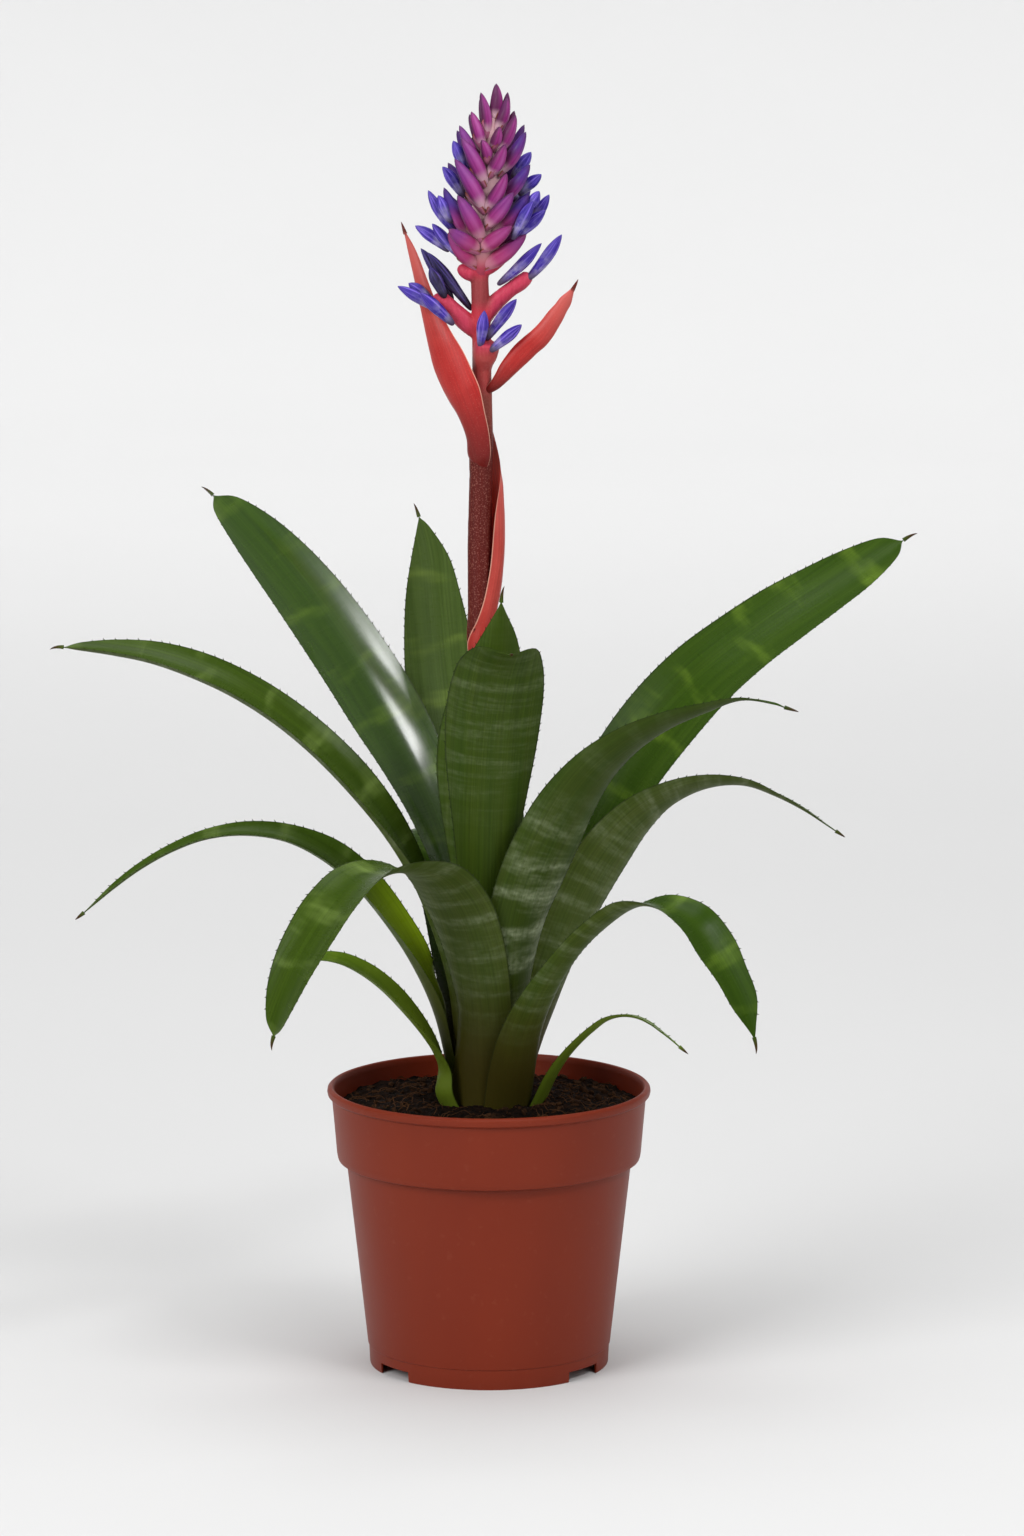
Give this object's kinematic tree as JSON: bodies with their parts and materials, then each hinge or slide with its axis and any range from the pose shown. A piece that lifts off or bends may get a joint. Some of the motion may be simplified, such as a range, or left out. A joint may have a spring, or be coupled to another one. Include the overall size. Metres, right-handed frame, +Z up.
{
  "type": "potted bromeliad",
  "caption": "Flowering bromeliad with arching strap leaves, an upright stem with red bracts and a violet and magenta flower head, growing in a round nursery pot.",
  "frame": {"origin": "centre of the pot's foot, on the ground, below the middle of the plant's bounding box", "axes": "+Z up, -Y the front, +X to the viewer's right"},
  "size_m": [0.3946, 0.2222, 0.5906],
  "materials": {
    "pot_plastic": "satin moulded, terracotta colour",
    "compost": "loose, dark, with light fibres",
    "leaf": "waxy green above, scurfy grey green below, with pale cross bands",
    "stem": "matte coral above, dark maroon with pale scurf below",
    "bract": "satin coral red with pale margins",
    "bud": "satin magenta with pale scurfy bases",
    "flower": "soft violet blue, paler toward the base"
  },
  "bodies": {
    "root": {"pot": "pot_plastic", "soil": "compost", "flower_stem": "stem", "bract_sheath": "bract", "bract_left": "bract", "bract_right": "bract", "leaf_front_inner": "leaf", "leaf_left_upper": "leaf", "leaf_back_upright": "leaf", "leaf_right_upper": "leaf", "leaf_front_outer": "leaf", "leaf_back_middle": "leaf", "leaf_left_middle": "leaf", "leaf_right_middle": "leaf", "leaf_right_twisted": "leaf", "leaf_back_left": "leaf", "leaf_back_right": "leaf", "leaf_left_arching": "leaf", "leaf_front_left": "leaf", "leaf_front_right": "leaf", "leaf_left_low": "leaf", "leaf_right_low": "leaf", "flower_head": "bud", "flower_right_arm_inner": "flower", "flower_right_arm_outer": "flower", "flower_left_arm_low": "flower", "flower_left_arm_high": "flower", "flower_left_arm_front": "flower", "flower_left_dark_back": "flower", "flower_left_dark_front": "flower", "flower_left_dark_inner": "flower", "flower_front_left": "flower", "flower_front_middle": "flower", "flower_front_right": "flower", "flower_head_left_1": "flower", "flower_head_left_2": "flower", "flower_head_left_3": "flower", "flower_head_left_4": "flower", "flower_head_left_5": "flower", "flower_head_left_6": "flower", "flower_head_right_1": "flower", "flower_head_right_2": "flower", "flower_head_right_3": "flower", "flower_head_right_4": "flower", "flower_head_right_5": "flower", "flower_head_right_6": "flower", "flower_head_back_1": "flower", "flower_head_back_2": "flower", "flower_head_back_3": "flower"}
  },
  "joints": []
}
